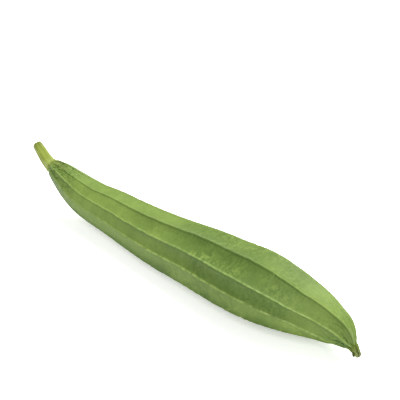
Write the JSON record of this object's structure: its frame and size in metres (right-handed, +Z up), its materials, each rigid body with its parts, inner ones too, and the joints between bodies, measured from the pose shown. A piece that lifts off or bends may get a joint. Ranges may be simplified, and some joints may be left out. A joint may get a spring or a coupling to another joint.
{
  "type": "ridge gourd",
  "caption": "Long club-shaped ridge gourd with sharp lengthwise ridges, a cut stalk and a withered flower tip, lying on its belly.",
  "frame": {"origin": "centre of the bounding box's bottom, on the surface that the gourd lies on", "axes": "+X from the stalk to the blossom end, +Z up, -Y is the side that the picture shows"},
  "size_m": [0.3302, 0.0546, 0.052],
  "materials": {
    "gourd_skin": "thin green vegetable skin, slightly waxy, with paler ridge crests and fine mottling",
    "gourd_stalk": "yellow-green fleshy stalk, satin",
    "withered_flower": "dry olive-brown flower remains, matt"
  },
  "bodies": {
    "root": {"fruit": "gourd_skin", "stalk": "gourd_stalk", "withered_flower": "withered_flower"}
  },
  "joints": []
}
